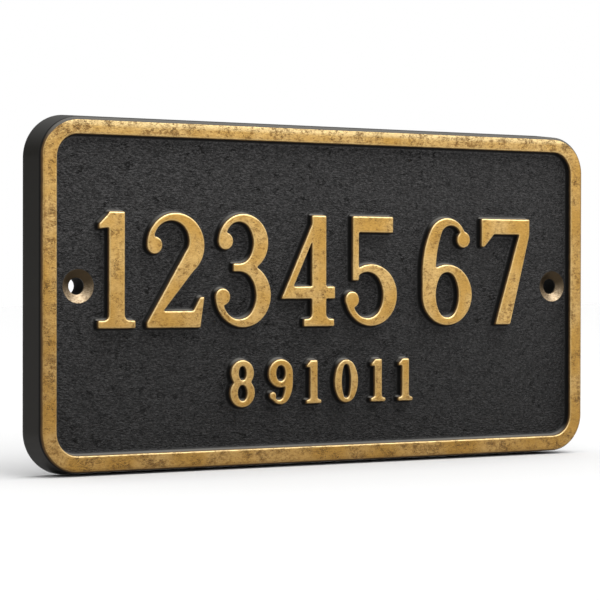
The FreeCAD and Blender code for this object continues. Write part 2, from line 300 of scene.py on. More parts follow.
def edge_distance(points):
    """Signed distance in mm from each (x, z) row to the nearest outline."""
    nearest = np.array([tree.find((x, z, 0.0))[1] for x, z in points], dtype=int)
    off, far, side = {}, {}, {}
    for key, start in (("after", nearest), ("before", fine_before[nearest])):
        along = fine_to[start] - fine_from[start]
        length = rows_length(along)
        share = np.clip(np.sum((points - fine_from[start]) * along, axis=1) / length ** 2, 0, 1)
        off[key] = points - (fine_from[start] + along * share[:, None])
        far[key] = rows_length(off[key])
        side[key] = np.column_stack((along[:, 1], -along[:, 0])) / length[:, None]
    at_corner = np.abs(far["after"] - far["before"]) < SAME_PLACE
    first = (far["after"] < far["before"])[:, None]
    outwards = np.where(at_corner[:, None], side["after"] + side["before"],
                        np.where(first, side["after"], side["before"]))
    towards = np.where(first, off["after"], off["before"])
    sign = np.where(np.sum(towards * outwards, axis=1) < 0, -1, 1)
    return sign * np.minimum(far["after"], far["before"])


LOW_IN_FIELD = (0.0, -50.0)
print("low in the field:", edge_distance(np.array([LOW_IN_FIELD]))[0].round(2), "mm from an edge")

# %% [markdown]
# The profile across an edge is a shoulder, a flank with the draft that lets a pattern
# leave the sand, and a cove at the foot. Rings of points follow every outline at the
# offsets where that profile bends, so that the skin has an edge along each bend.

# %% Profile across an edge
DRAFT = math.radians(12)
SHOULDER, COVE = 0.5, 0.8
TAN, COS = math.tan(DRAFT), math.cos(DRAFT)
sharp_edge = -SECTION_BELOW_FRONT * TAN
shoulder_at = sharp_edge - SHOULDER * math.tan(math.pi / 4 - DRAFT / 2)
shoulder_end = shoulder_at + SHOULDER * COS
shoulder_drop = SHOULDER * (1 - math.sin(DRAFT))
foot = (RELIEF - SECTION_BELOW_FRONT) * TAN
cove_end = foot + COVE * math.tan(math.pi / 4 - DRAFT / 2)
cove_at = cove_end - COVE * COS


def drop(distance):
    """How far below the front plane the casting lies, at a distance from an outline."""
    over_shoulder = np.clip(distance - shoulder_at, 0, SHOULDER * COS)
    in_cove = np.clip(cove_end - distance, 0, COVE * COS)
    rounded = SHOULDER - np.sqrt(SHOULDER ** 2 - over_shoulder ** 2)
    flank = shoulder_drop + (distance - shoulder_end) / TAN
    hollowed = RELIEF - COVE + np.sqrt(COVE ** 2 - in_cove ** 2)
    return np.where(distance < shoulder_end, rounded, np.where(distance < cove_at, flank, hollowed))


SHOULDER_ANGLES = (0, 26, 52, 78)
COVE_ANGLES = (78, 50, 22, 0)
LAST_RING = 0.45
RINGS = (
    [shoulder_at - LAST_RING]
    + [shoulder_at + SHOULDER * math.sin(math.radians(angle)) for angle in SHOULDER_ANGLES]
    + [(shoulder_end + cove_at) / 2]
    + [cove_end - COVE * math.sin(math.radians(angle)) for angle in COVE_ANGLES]
    + [cove_end + LAST_RING])
print("rings at", [round(ring, 2) for ring in RINGS], "mm")

# %% [markdown]
# The slab's outline is a rounded rectangle whose sizes are read from the cut beside the
# wall. Its corner radius follows from how much area the rounding takes away. The same
# outline, moved in, serves the wall, the rolled edge and the back.

# %% Outline of the slab
wall_low, wall_high = back_loops[0].min(axis=0), back_loops[0].max(axis=0)
wall_middle, wall_half = (wall_low + wall_high) / 2, (wall_high - wall_low) / 2
wall_corner = math.sqrt((4 * wall_half[0] * wall_half[1] - abs(area(back_loops[0]))) / (4 - math.pi))


def rounded_loop(by, step=1.0):
    """The slab's outline at the wall, moved in, anticlockwise from its lower right corner."""
    rows = []
    for turn, (side, up) in enumerate(((1, -1), (1, 1), (-1, 1), (-1, -1))):
        centre = wall_middle + (wall_half - wall_corner) * (side, up)
        angles = np.linspace(turn - 1, turn, round(math.pi / 2 * wall_corner / step) + 1) * math.pi / 2
        rows.append(centre + np.column_stack((np.cos(angles), np.sin(angles))) * (wall_corner - by))
        next_centre = wall_middle + (wall_half - wall_corner) * (-up, side)
        end = next_centre + np.array((math.cos(angles[-1]), math.sin(angles[-1]))) * (wall_corner - by)
        count = round(math.dist(rows[-1][-1], end) / step)
        rows.append(rows[-1][-1] + (end - rows[-1][-1]) * (np.arange(1, count) / count)[:, None])
    return np.vstack(rows)


def inside_border(points, by):
    """How far each point lies inside the slab's outline after that is moved in."""
    corner = np.abs(points - wall_middle) - (wall_half - wall_corner)
    outside = rows_length(np.maximum(corner, 0))
    return wall_corner - by - (outside + np.minimum(corner.max(axis=1), 0))


print("slab of", (2 * wall_half).round(2), "mm with corners of", round(wall_corner, 2), "mm")

# %% [markdown]
# The wall is one profile carried round that outline, as a strip of rings. A row of the
# profile says how far a ring is moved in and how high it stands over the wall. The wall
# leans in by its draft, and its front edge is rolled over.

# %% Profile of the wall
WALL_DRAFT = math.radians(6.4)
ROLLED_EDGE = 1.2
BACK_EDGE = 0.3
FLAT_BAND = 2.0
THICK = WALL - FRONT
wall_lean = THICK * math.tan(WALL_DRAFT)
centre_inset = (THICK - ROLLED_EDGE) * math.tan(WALL_DRAFT) + ROLLED_EDGE / math.cos(WALL_DRAFT)
FLAT_INSET = wall_lean + FLAT_BAND
WALL_PROFILE = [(FLAT_INSET, THICK)]
for angle in np.linspace(90, 8, 8):
    turn = math.radians(angle)
    WALL_PROFILE.append((
        centre_inset - ROLLED_EDGE * math.cos(turn),
        THICK - ROLLED_EDGE + ROLLED_EDGE * math.sin(turn)))
wall_top = THICK - ROLLED_EDGE * (1 - math.sin(WALL_DRAFT)) - 0.7
for height in np.linspace(wall_top, BACK_EDGE, 11):
    WALL_PROFILE.append((height * math.tan(WALL_DRAFT), height))
WALL_PROFILE += [(BACK_EDGE * 0.3, BACK_EDGE * 0.3), (BACK_EDGE, 0.0)]
print("wall of", len(WALL_PROFILE), "rings")

# %% [markdown]
# A screw hole is turned from a profile of radius and height: a fine lip in the field, the
# cone that takes the screw's flat head, and the bore. The bore's radius and both centres
# are read from the cut beside the wall.

# %% Profile of the screw holes
SINK_RADIUS, SINK_HALF_ANGLE, SINK_LIP = 5.2, math.radians(60), 0.1


def centre_and_radius(loop):
    centre = loop.mean(axis=0)
    return centre, float(rows_length(loop - centre).max())


holes = [centre_and_radius(loop) for loop in back_loops[1:]]
bore = holes[0][1]
sink_depth = (SINK_RADIUS - bore) / math.tan(SINK_HALF_ANGLE)
field_height = WALL - FIELD
HOLE_PROFILE = [
    (SINK_RADIUS + 0.2, field_height),
    (SINK_RADIUS + SINK_LIP, field_height - 0.01),
    (SINK_RADIUS, field_height - 0.06)]
for share in np.linspace(0.1, 1, 6):
    HOLE_PROFILE.append((
        SINK_RADIUS - (SINK_RADIUS - bore) * share,
        field_height - 0.03 - sink_depth * share))
HOLE_PROFILE += [(bore, height) for height in np.linspace(field_height - sink_depth - 0.8, 0.25, 5)]
HOLE_PROFILE.append((bore + 0.2, 0.0))
SINK_EDGE = HOLE_PROFILE[0][0]
print(len(holes), "holes of", round(2 * bore, 2), "mm")

# %% [markdown]
# Sand leaves its grain in the metal. The front's own points are moved by layers of noise:
# broad flow marks, finer wrinkles that run mostly sideways, and pits. All of it fades out
# beside the edges, where the pattern was smoothed by hand.

# %% Marks of the sand
BROAD_MARKS, FLOW_MARKS, PIT_DEPTH = 0.05, 0.12, 0.3
RUBBED_SLOW, RUBBED_QUICK = 0.03, 0.015


def ease(low, high, value):
    """A soft step from 0 to 1 while the value goes from low to high."""
    share = min(1.0, max(0.0, (value - low) / (high - low)))
    return share * share * (3 - 2 * share)


def sand(x, z):
    """How far the sand moves the field at a place, in mm, outwards when positive."""
    broad = noise.noise(Vector((x * 0.16, 3.1, z * 0.2)))
    flow = noise.fractal(Vector((x * 0.34, 7.7, z * 0.62)), 0.9, 2.1, 3)
    pits = noise.noise(Vector((x * 0.62, 11.3, z * 0.7)))
    return BROAD_MARKS * broad + FLOW_MARKS * flow - PIT_DEPTH * ease(0.14, 0.5, pits)


def hand_rubbed(x, z):
    """How far rubbing by hand has taken the faces of the rim and numerals down, in mm."""
    slow = noise.noise(Vector((x * 0.12, 1.9, z * 0.12)))
    quick = noise.noise(Vector((x * 0.5, 5.2, z * 0.5)))
    return -RUBBED_SLOW * (1 + slow) - RUBBED_QUICK * (1 + quick)


print("the sand moves a place low in the field by", round(sand(*LOW_IN_FIELD), 3), "mm")

# %% [markdown]
# The points of the front come in two kinds. Some follow a line that has to stay: the
# border of the slab, the edge of each hole and the rings beside every outline. They are
# added as chains, with a fixed edge between neighbours.

# %% Lines of the front
HOLE_COUNT = 56
HOLE_RINGS = (0.45, 0.95)
CLEAR_OF_HOLE = 0.08
RING_SLACK = 0.02
points, fixed = [], []


def circle(centre, radius, count):
    """Points round a circle, anticlockwise."""
    turn = np.arange(count) * 2 * math.pi / count
    return centre + np.column_stack((np.cos(turn), np.sin(turn))) * radius


def ring_points(loop, offset):
    """The loop moved sideways to the field, and which points no other part is nearer to."""
    along = after(loop) - before(loop)
    along /= rows_length(along)[:, None]
    moved = loop + np.column_stack((along[:, 1], -along[:, 0])) * offset
    kept = np.abs(edge_distance(moved)) > abs(offset) - RING_SLACK
    for centre, _ in holes:
        kept &= rows_length(moved - centre) > SINK_EDGE + CLEAR_OF_HOLE
    return moved, kept


def add_chain(rows, kept):
    """Add a closed run of points, with a fixed edge between neighbours that are both kept."""
    first = len(points)
    index = {}
    for i, row in enumerate(rows):
        if kept[i]:
            index[i] = first + len(index)
            points.append(Vector((float(row[0]), float(row[1]))))
    for i in index:
        neighbour = (i + 1) % len(rows)
        if neighbour in index:
            fixed.append((index[i], index[neighbour]))


borders = [rounded_loop(FLAT_INSET)] + [circle(centre, SINK_EDGE, HOLE_COUNT) for centre, _ in holes]
for loop in borders:
    add_chain(loop, [True] * len(loop))
for loop in outlines:
    for offset in RINGS:
        add_chain(*ring_points(loop, offset))
for centre, _ in holes:
    for extra in HOLE_RINGS:
        around = circle(centre, SINK_EDGE + extra, HOLE_COUNT)
        add_chain(around, edge_distance(around) > RINGS[-1] + 0.2)
print(len(points), "points and", len(fixed), "fixed edges")

# %% [markdown]
# The other kind fills the faces between those lines: a grid of points in rows that are
# shifted by half a step, each jittered a little so that no pattern shows. The field needs
# a finer grid than the smooth brass, because it carries the marks of the sand.

# %% Grid between the lines
FIELD_GRID, METAL_GRID = 0.72, 0.95
JITTER = 0.18
random.seed(7)


def grid(spacing):
    """Jittered points over the whole slab, about a spacing apart."""
    (low_x, low_z), (high_x, high_z) = wall_low, wall_high
    rows = []
    for row, z in enumerate(np.arange(low_z, high_z, spacing * math.sqrt(0.75))):
        shift = spacing / 2 if row % 2 else 0.0
        rows += [(x + shift, z) for x in np.arange(low_x, high_x, spacing)]
    jitter = [(random.uniform(-JITTER, JITTER), random.uniform(-JITTER, JITTER)) for _ in rows]
    return np.array(rows) + np.array(jitter) * spacing


for spacing, on_metal in ((FIELD_GRID, False), (METAL_GRID, True)):
    candidates = grid(spacing)
    clear = spacing * 0.5
    wanted = inside_border(candidates, FLAT_INSET) > clear
    for centre, _ in holes:
        wanted &= rows_length(candidates - centre) > SINK_EDGE + HOLE_RINGS[-1] + clear
    candidates = candidates[wanted]
    away = edge_distance(candidates)
    clear_of_rings = away < RINGS[0] - clear if on_metal else away > RINGS[-1] + clear
    points += [Vector((float(x), float(z))) for x, z in candidates[clear_of_rings]]
print(len(points), "points with the grid")

# %% [markdown]
# A triangulation that keeps the fixed edges joins all the points. It also fills the holes
# and the outside of the rounded border, so triangles whose middle lies there are dropped.

# %% Skin of the front
THINNEST = 0.02
POINTS_MEET = 1e-5


def triangulated(points, fixed, inset, hole_radius):
    """The triangles between the points, inside the slab and outside the screw holes."""
    flat_points, _, triangles, *_ = delaunay_2d_cdt(points, fixed, [], 1, POINTS_MEET, False)
    flat, triangles = np.array(flat_points), np.array(triangles)
    middles = flat[triangles].mean(axis=1)
    keep = inside_border(middles, inset) > THINNEST
    for centre, _ in holes:
        keep &= rows_length(middles - centre) > hole_radius * math.cos(math.pi / HOLE_COUNT)
    return flat, triangles[keep]


flat, triangles = triangulated(points, fixed, FLAT_INSET, SINK_EDGE)
print(len(flat), "vertices,", len(triangles), "triangles on the front")

# %% [markdown]
# Each flat point is now raised to its height. On the field the sand moves it, less and
# less towards an edge or a hole. On the brass the rubbing takes it down a little. The
# points also get the measure that the finish needs most: how far they lie from the nearest
# edge of bared metal, negative on the metal, where the rim has an outer edge as well.

# %% Heights of the front
SAND_FADES, SAND_FADES_AT_HOLE = 2.0, 2.2


def front_heights(points):
    """The distance from the wall to the front's skin at each (x, z) row, in mm."""
    away = edge_distance(points)
    hole_away = np.min([rows_length(points - centre) for centre, _ in holes], axis=0) - SINK_EDGE
    heights = THICK - drop(away)
    for i, (x, z) in enumerate(points):
        if away[i] > cove_end:
            open_sand = ease(cove_end, cove_end + SAND_FADES, away[i])
            heights[i] += sand(x, z) * open_sand * ease(0.0, SAND_FADES_AT_HOLE, hole_away[i])
        elif away[i] < shoulder_end:
            heights[i] += hand_rubbed(x, z)
    return heights


away = edge_distance(flat)
heights = front_heights(flat)
front_rows = np.column_stack((flat[:, 0], WALL - heights, flat[:, 1]))
rim_away = -(inside_border(flat, FLAT_INSET) + FLAT_BAND)
front_edges = np.where(away < 0, np.maximum(away, rim_away), away)
print("front heights", heights.min().round(2), "to", heights.max().round(2), "mm")

# %% [markdown]
# All parts of the skin go into plain lists of corners, faces and map corners. Each corner
# has four marks that steer the finish: its distance from a bared edge, and whether it is
# in a screw hole's sink, on the wall or on the rim. The map is laid out here one part at a
# time: the front gets most of the square, because that is what is looked at.

# %% Gather the front
MAP_WIDTH = 0.99
FRONT_MAP = (0.005, 0.465)
MAP_SCALE = MAP_WIDTH / (box_high[0] - box_low[0]) * MM
corners, faces, map_corners = [], [], []
marks = {"edge": [], "sink": [], "wall": [], "rim": []}


def add_rows(rows, **given):
    """Add corners with their marks, and return the number of the first one."""
    first = len(corners)
    corners.extend(map(tuple, rows))
    for name, values in marks.items():
        values.extend(np.broadcast_to(given.get(name, 0.0), len(rows)))
    return first


def add_face(indices, spots):
    """Add a face with the place of each of its corners on the map."""
    faces.append(tuple(indices))
    map_corners.extend(spots)


front_low = np.array((box_low[0], box_low[2])) / MM
front_spots = (flat - front_low) * MAP_SCALE + FRONT_MAP
rim_inner = relief_loops[0][:, 0]
rim_width = wall_half[0] - (rim_inner.max() - rim_inner.min()) / 2
RIM_FLANK = 1.0
on_rim = inside_border(flat, 0.0) < rim_width + RIM_FLANK
first = add_rows(front_rows, edge=front_edges, rim=on_rim)
for triangle in triangles:
    add_face(triangle + first, front_spots[triangle])
print(len(corners), "corners on the front, with a rim of", round(rim_width, 2), "mm")

# %% [markdown]
# The wall and the holes are strips. One helper joins rings of equal length, and each ring
# has one value for every mark. The wall is longer than the map is wide, so on the map it
# lies in rows under the front.

# %% Gather the wall
ROW_LENGTH, ROW_GAP = 212.0, 0.8
WALL_MAP = (0.003, 0.455)


def add_strip(rings, spots, **ring_marks):
    """Join closed rings of equal length into a band. The last column meets the first."""
    count = len(rings[0])
    marks_given = {name: np.repeat(values, count) for name, values in ring_marks.items()}
    first = add_rows(np.vstack(rings), **marks_given)
    for low in range(len(rings) - 1):
        for i in range(count):
            j = (i + 1) % count
            a, b = first + low * count, first + (low + 1) * count
            add_face((a + i, a + j, b + j, b + i),
                     (spots(i, i, low), spots(i, i + 1, low),
                      spots(i, i + 1, low + 1), spots(i, i, low + 1)))


def profile_lengths(profile):
    """How far each row of a profile lies along it."""
    return np.concatenate(([0], np.cumsum([math.dist(a, b) for a, b in zip(profile, profile[1:])])))


rings, edges = [], []
for k, (by, height) in enumerate(WALL_PROFILE):
    ring = rounded_loop(by)
    ring_heights = front_heights(ring) if k == 0 else np.full(len(ring), height)
    rings.append(np.column_stack((ring[:, 0], WALL - ring_heights, ring[:, 1])))
    flat_part = by - wall_lean
    edges.append(-flat_part if height > THICK - 0.01 else max(-flat_part, THICK - ROLLED_EDGE - height))
wall_loop = rounded_loop(0.0)
length = np.concatenate(([0], np.cumsum(rows_length(after(wall_loop) - wall_loop))))
wall_depths = profile_lengths(WALL_PROFILE)


def wall_spot(column, at, ring):
    """The place on the map of a column's edge, in the row that the column is in."""
    row = int(length[column] // ROW_LENGTH)
    return ((length[at] - row * ROW_LENGTH) * MAP_SCALE + WALL_MAP[0],
            WALL_MAP[1] - (row * (wall_depths[-1] + ROW_GAP) + wall_depths[ring]) * MAP_SCALE)


on_wall = [0.0] + [1.0] * (len(rings) - 1)
add_strip(rings, wall_spot, edge=edges, wall=on_wall, rim=[1.0] * len(rings))
print(len(corners), "corners with the wall")

# %% [markdown]
# Each screw hole is a strip as well. The cone is marked as a sink, because it keeps its
# own bronze colour, and the bore behind it counts as an edge, so that it stays black.

# %% Gather the screw holes
HOLE_MAP, HOLE_MAP_STEP = (0.55, 0.2), 0.2
hole_depths = profile_lengths(HOLE_PROFILE)
bore_from = field_height - sink_depth - 0.2
for number, (centre, _) in enumerate(holes):
    rings, sinks, edges = [], [], []
    for radius, height in HOLE_PROFILE:
        ring = circle(centre, radius, HOLE_COUNT)
        ring_heights = np.full(HOLE_COUNT, height) if rings else front_heights(ring)
        rings.append(np.column_stack((ring[:, 0], WALL - ring_heights, ring[:, 1])))
        sinks.append(1.0 if bore_from < height < field_height - 0.005 else 0.0)
        edges.append(0.0 if height < bore_from else COVE * 4)
    around = 2 * math.pi * SINK_RADIUS / HOLE_COUNT

    def hole_spot(column, at, ring, left=HOLE_MAP[0] + HOLE_MAP_STEP * number):
        return (left + at * around * MAP_SCALE, HOLE_MAP[1] - hole_depths[ring] * MAP_SCALE)

    add_strip(rings, hole_spot, edge=edges, sink=sinks)
print(len(corners), "corners with the screw holes")

# %% [markdown]
# The back lies on the wall and is ground flat, so a few large triangles close it.

# %% Gather the back
BACK_GRID, BACK_CLEAR, BACK_SHARE, BACK_MAP = 6.0, 2.0, 0.42, (0.01, 0.005)
bore_mouth = HOLE_PROFILE[-1][0]
points, fixed = [], []
for loop in [rounded_loop(BACK_EDGE)] + [circle(centre, bore_mouth, HOLE_COUNT) for centre, _ in holes]:
    add_chain(loop, [True] * len(loop))
inner = grid(BACK_GRID)
inner = inner[inside_border(inner, BACK_EDGE) > BACK_CLEAR]
for centre, _ in holes:
    inner = inner[rows_length(inner - centre) > 2 * bore]
points += [Vector((float(x), float(z))) for x, z in inner]
back_flat, back_triangles = triangulated(points, fixed, BACK_EDGE, bore_mouth)
back_rows = np.column_stack((back_flat[:, 0], np.full(len(back_flat), WALL), back_flat[:, 1]))
first = add_rows(back_rows, edge=THICK, wall=1.0)
back_spots = (back_flat - front_low) * MAP_SCALE * BACK_SHARE + BACK_MAP
for triangle in back_triangles:
    add_face(triangle + first, back_spots[triangle])
print(len(corners), "corners and", len(faces), "faces before merging")

# %% [markdown]
# One mesh is made of the lists. Corners that coincide along the joins are merged, which
# closes the casting, and a count of open edges proves it.

# %% The dressed casting
JOIN_WITHIN = 0.002
SHARP_OVER = math.radians(50)
skin = bpy.data.meshes.new("plaque_casting")
skin.from_pydata([tuple(v * MM for v in corner) for corner in corners], [], faces)
bake_map = skin.uv_layers.new(name="OFBake")
bake_map.data.foreach_set("uv", np.array(map_corners, dtype=np.float32).ravel())
for name, values in marks.items():
    mark = skin.attributes.new(name, "FLOAT", "POINT")
    mark.data.foreach_set("value", np.array(values, dtype=np.float32))
work = bmesh.new()
work.from_mesh(skin)
bmesh.ops.remove_doubles(work, verts=work.verts, dist=JOIN_WITHIN * MM)
bmesh.ops.recalc_face_normals(work, faces=work.faces)
open_edges = sum(not edge.is_manifold for edge in work.edges)
work.to_mesh(skin)
work.free()
skin.polygons.foreach_set("use_smooth", [True] * len(skin.polygons))
skin.set_sharp_from_angle(angle=SHARP_OVER)
skin.calc_loop_triangles()
plaque = bpy.data.objects.new("plaque_casting", skin)
bpy.context.collection.objects.link(plaque)
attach(plaque, "root")
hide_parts("cast_plaque")
print(len(skin.vertices), "vertices,", len(skin.loop_triangles), "triangles,")
print(open_edges, "open edges")

# %% [markdown]
# Shader sums are easier to read as sums. This class wraps the output of a node, so that
# plus, minus and times on it add Math nodes to the finish.

# %% Sums as shader nodes
class Value:
    """A number on its way between nodes."""

    def __init__(self, finish, socket):
        self.finish, self.socket = finish, socket

    def __add__(self, other):
        return self.finish.sum("ADD", self, other)

    def __sub__(self, other):
        return self.finish.sum("SUBTRACT", self, other)

    def __rsub__(self, other):
        return self.finish.sum("SUBTRACT", other, self)

    def __mul__(self, other):
        return self.finish.sum("MULTIPLY", self, other)

    __radd__ = __add__
    __rmul__ = __mul__


print("numbers between nodes can be added, subtracted and multiplied")

# %% [markdown]
# A finish is filled by calls. One method adds any node: its type, its settings, and then a
# value or a link for each socket. The others are short forms of it for what this plaque
# uses often, such as a noise, a soft step or a mix of two colours.

# %% Nodes by calls
class Finish:
    """The node tree of a material, or of the sky."""

    def __init__(self, owner):
        owner.use_nodes = True
        self.tree = owner.node_tree
        self.tree.nodes.clear()

    def node(self, kind, settings=None, sockets=None, output=0):
        """Add a node and return one of its outputs. A colour is given as three numbers."""
        made = self.tree.nodes.new(kind)
        for name, setting in (settings or {}).items():
            setattr(made, name, setting)
        for name, given in (sockets or {}).items():
            socket = made.inputs[name]
            given = given.socket if isinstance(given, Value) else given
            if isinstance(given, bpy.types.NodeSocket):
                self.tree.links.new(given, socket)
            else:
                socket.default_value = (*given, 1.0) if socket.type == "RGBA" else given
        return made.outputs[output] if made.outputs else None

    def value(self, kind, settings=None, sockets=None, output=0):
        """Add a node whose output is a number that can be added and multiplied."""
        return Value(self, self.node(kind, settings, sockets, output))

    def sum(self, operation, first, second):
        return self.value("ShaderNodeMath", {"operation": operation}, {0: first, 1: second})

    def mark(self, name):
        """One of the marks that the corners carry."""
        return self.value("ShaderNodeAttribute", {"attribute_name": name}, output="Fac")

    def part(self, vector, axis):
        """The X, Y or Z part of a vector."""
        return self.value("ShaderNodeSeparateXYZ", sockets={"Vector": vector}, output=axis)

    def scaled(self, place, factors):
        return self.node("ShaderNodeVectorMath", {"operation": "MULTIPLY"}, {0: place, 1: factors})

    def noise(self, place, per_mm, detail, roughness):
        return self.value(
            "ShaderNodeTexNoise", {"normalize": True},
            {"Vector": place, "Scale": per_mm, "Detail": detail, "Roughness": roughness})

    def step(self, value, low, high, start=0.0, end=1.0):
        """A soft step from start to end while the value goes from low to high."""
        return self.value(
            "ShaderNodeMapRange", {"interpolation_type": "SMOOTHSTEP", "clamp": True},
            {"Value": value, "From Min": low, "From Max": high, "To Min": start, "To Max": end})

    def mix(self, share, first, second):
        """The first colour, with a share of the second."""
        return self.node("ShaderNodeMix", {"data_type": "RGBA"}, {0: share, 6: first, 7: second}, 2)


print("one method adds every node")

# %% [markdown]
# The finish needs to know where it is. The place comes in millimetres from the casting's
# own frame, so nothing slides when the camera moves. The lift is how far a place stands
# in front of the field, and the normal tells which faces the light from above reaches.

# %% Place on the casting
brass = bpy.data.materials.new("blackened_brass")
finish = Finish(brass)
place = finish.scaled(finish.node("ShaderNodeTexCoord", output="Object"), (1 / MM, 1 / MM, 1 / MM))
along, depth, height_up = (finish.part(place, axis) for axis in range(3))
upwards = finish.part(finish.node("ShaderNodeNewGeometry", output="Normal"), 2)
edge, sink, wall, rim = (finish.mark(name) for name in ("edge", "sink", "wall", "rim"))
lift = FIELD - depth
print("place and marks read by", len(finish.tree.nodes), "nodes")

# %% [markdown]
# Seven layers of noise stand for what sand, dye and handling leave on such a casting, from
# clouds as wide as a numeral down to dust. Those that follow the casting's sideways
# wrinkles are drawn out along it, which means that their scale is higher upwards.

# %% Noise of the finish
cloud = finish.noise(place, 0.07, 3.0, 0.5)
patch = finish.noise(place, 0.30, 5.0, 0.6)
mottle = finish.noise(finish.scaled(place, (0.8, 1.0, 1.2)), 0.85, 4.0, 0.6)
wrinkle = finish.noise(finish.scaled(place, (0.6, 1.0, 1.4)), 1.4, 2.5, 0.6)
strokes = finish.noise(finish.scaled(place, (0.6, 1.0, 1.8)), 1.6, 4.0, 0.68)
grain = finish.noise(finish.scaled(place, (0.6, 1.0, 1.5)), 1.7, 4.0, 0.72)
dust = finish.noise(place, 3.6, 3.0, 0.6)
print("noise layers made,", len(finish.tree.nodes), "nodes so far")

# %% [markdown]
# The finish is one casting with two faces. The ground, the flanks and the walls are
# blackened. Where a wheel could reach, the black is gone and the brass shows. Masks could
# be painted by hand, but here they are worked out from lift, edge and normal, so that the
# line between black and brass follows each numeral by itself.

# %% Masks of the black and of the brass
RIM_TOP_FROM, RIM_TOP_TO = 44.0, 50.0
BARED_FROM, BARED_TO = RELIEF - 0.34, RELIEF - 0.13
# Painted light from above: this mask paints the ground and the wall lighter higher up.
painted_top_light = finish.step(height_up, -60.0, 55.0)
# Faces that look up, and the rim's top edge, carry a painted grey highlight through these masks.
facing_up = finish.step(upwards, 0.4, 0.95)
top_edge = finish.step(upwards, 0.05, 0.3) * finish.step(height_up, RIM_TOP_FROM, RIM_TOP_TO) * rim
bared = finish.step(lift + patch * 0.3 - 0.15 - top_edge * 0.25, BARED_FROM, BARED_TO)
near_edge = finish.step(edge, -0.7, -0.35) * bared
off_wall = finish.step(lift, -0.7, -0.4) * (1 - wall)
# Painted shade: this mask paints the flanks beside the metal the deepest black.
flank = finish.step(edge, 0.4, 1.05, 1.0, 0.0)
open_field = finish.step(edge, 0.9, 1.6) * off_wall * (1 - sink)
print("black and brass told apart,", len(finish.tree.nodes), "nodes so far")

# %% [markdown]
# The bared brass has aged. It is brown in soft patches and speckled with the last of the
# black. The rim has more of this than the numerals, which are wiped more often, and the edges
# have less. Low on the left the brass is painted darker, as painted shade, and the rim gets a
# few more specks there.

# %% Masks of the tarnish and of a painted shade
# Painted shade: brass low on the left is painted darker; the rim also gets a few more specks there.
low_left_shade_and_specks = finish.step(height_up + along * 0.22, -57.0, 8.0, 1.0, 0.0)
patches = patch * 0.5 + mottle * 0.8 + cloud * 0.3 + rim * 0.04
brown = finish.step(patches, 0.79, 1.03) * (1 - near_edge * 0.5)
spots = dust * 0.55 + grain * 0.45 + patch * 0.3 + rim * (low_left_shade_and_specks * 0.02 + 0.015)
specks = finish.step(spots, 0.72, 0.78) * (1 - near_edge * 0.6)
tarnish = brown * 0.3 + specks * 0.6
print("tarnish placed,", len(finish.tree.nodes), "nodes so far")

# %% [markdown]
# Brass colours are built up as a patina is: clear metal first, then the pale edges, which are
# partly rubbed clean and partly a painted highlight where they face up, then a painted highlight
# band along the top of the rim, then the browns over it, with painted shade low on the left,
# and the dark specks last.

# %% Colours of the brass
GOLD, PALE_GOLD_AND_HIGHLIGHT = (0.46, 0.268, 0.067), (0.90, 0.70, 0.36)
BROWN_GOLD, DARK_BROWN = (0.17, 0.080, 0.018), (0.055, 0.028, 0.009)
TOP_HIGHLIGHT_FROM, TOP_HIGHLIGHT_TO = 49.4, 51.0
gold = finish.mix(finish.step(cloud, 0.35, 0.65, 0.0, 0.25), GOLD, PALE_GOLD_AND_HIGHLIGHT)
gold = finish.mix(finish.step(strokes, 0.4, 0.66, 0.0, 0.3) + rim * 0.05, gold, BROWN_GOLD)
# Pale edges: partly rubbed clean, and a painted highlight where they face up.
gold = finish.mix(near_edge * finish.step(upwards, 0.0, 0.4, 0.2, 0.9), gold, PALE_GOLD_AND_HIGHLIGHT)
# A painted highlight band along the top of the rim.
gold = finish.mix(finish.step(height_up, TOP_HIGHLIGHT_FROM, TOP_HIGHLIGHT_TO, 0.0, 0.6), gold, PALE_GOLD_AND_HIGHLIGHT)
# Painted shade low on the left.
gold = finish.mix(low_left_shade_and_specks * 0.3, gold, BROWN_GOLD)
gold = finish.mix(brown * 0.8, gold, BROWN_GOLD)
gold = finish.mix(specks * 0.8, gold, DARK_BROWN)
print("brass colours mixed,", len(finish.tree.nodes), "nodes so far")

# %% [markdown]
# The ground is charcoal, not one black. Its grain is lighter grey in spots, a little more so on
# the left, and its pits stay deep black. Painted shade makes it, and the wall, a little darker
# towards the foot. The flanks beside the metal are the blackest, as painted shade, faces that
# look up get a painted grey highlight, as does the rim's rolled top edge, and a trace of rust
# runs below the brass.

# %% Colours of the ground and of the wall
DEEP_BLACK, RUST, HIGHLIGHT_GREY = (0.0030, 0.0027, 0.0024), (0.11, 0.06, 0.02), (0.22, 0.21, 0.19)
# Shaded and lit copies of the ground's colours, and a darker wall foot, paint light from above.
SHADED_BLACK, SHADED_GREY = (0.005, 0.0048, 0.0048), (0.032, 0.031, 0.031)
LIT_BLACK, LIT_GREY = (0.012, 0.0116, 0.0116), (0.062, 0.060, 0.060)
WALL_BLACK, WALL_FOOT_SHADE = (0.0110, 0.0100, 0.0080), (0.0045, 0.0030, 0.0008)
pits = finish.step(patch * 0.55 + grain * 0.45 + along * 0.00012, 0.375, 0.415)
# Lighter grey spots follow the grain, a little more of them on the left.
more_grey_left = finish.step(along, -110.0, 40.0, 1.2, 1.0)
tops = finish.step(grain * 0.75 + dust * 0.25, 0.44, 0.64) * more_grey_left
shaded_ground = finish.mix(tops, SHADED_BLACK, SHADED_GREY)
lit_ground = finish.mix(tops, LIT_BLACK, LIT_GREY)
ground = finish.mix(pits, DEEP_BLACK, finish.mix(painted_top_light, shaded_ground, lit_ground))
wall_colour = finish.mix(painted_top_light, WALL_FOOT_SHADE, WALL_BLACK)
# The flanks get the deepest black as painted shade.
ground = finish.mix(flank, finish.mix(off_wall, wall_colour, ground), DEEP_BLACK)
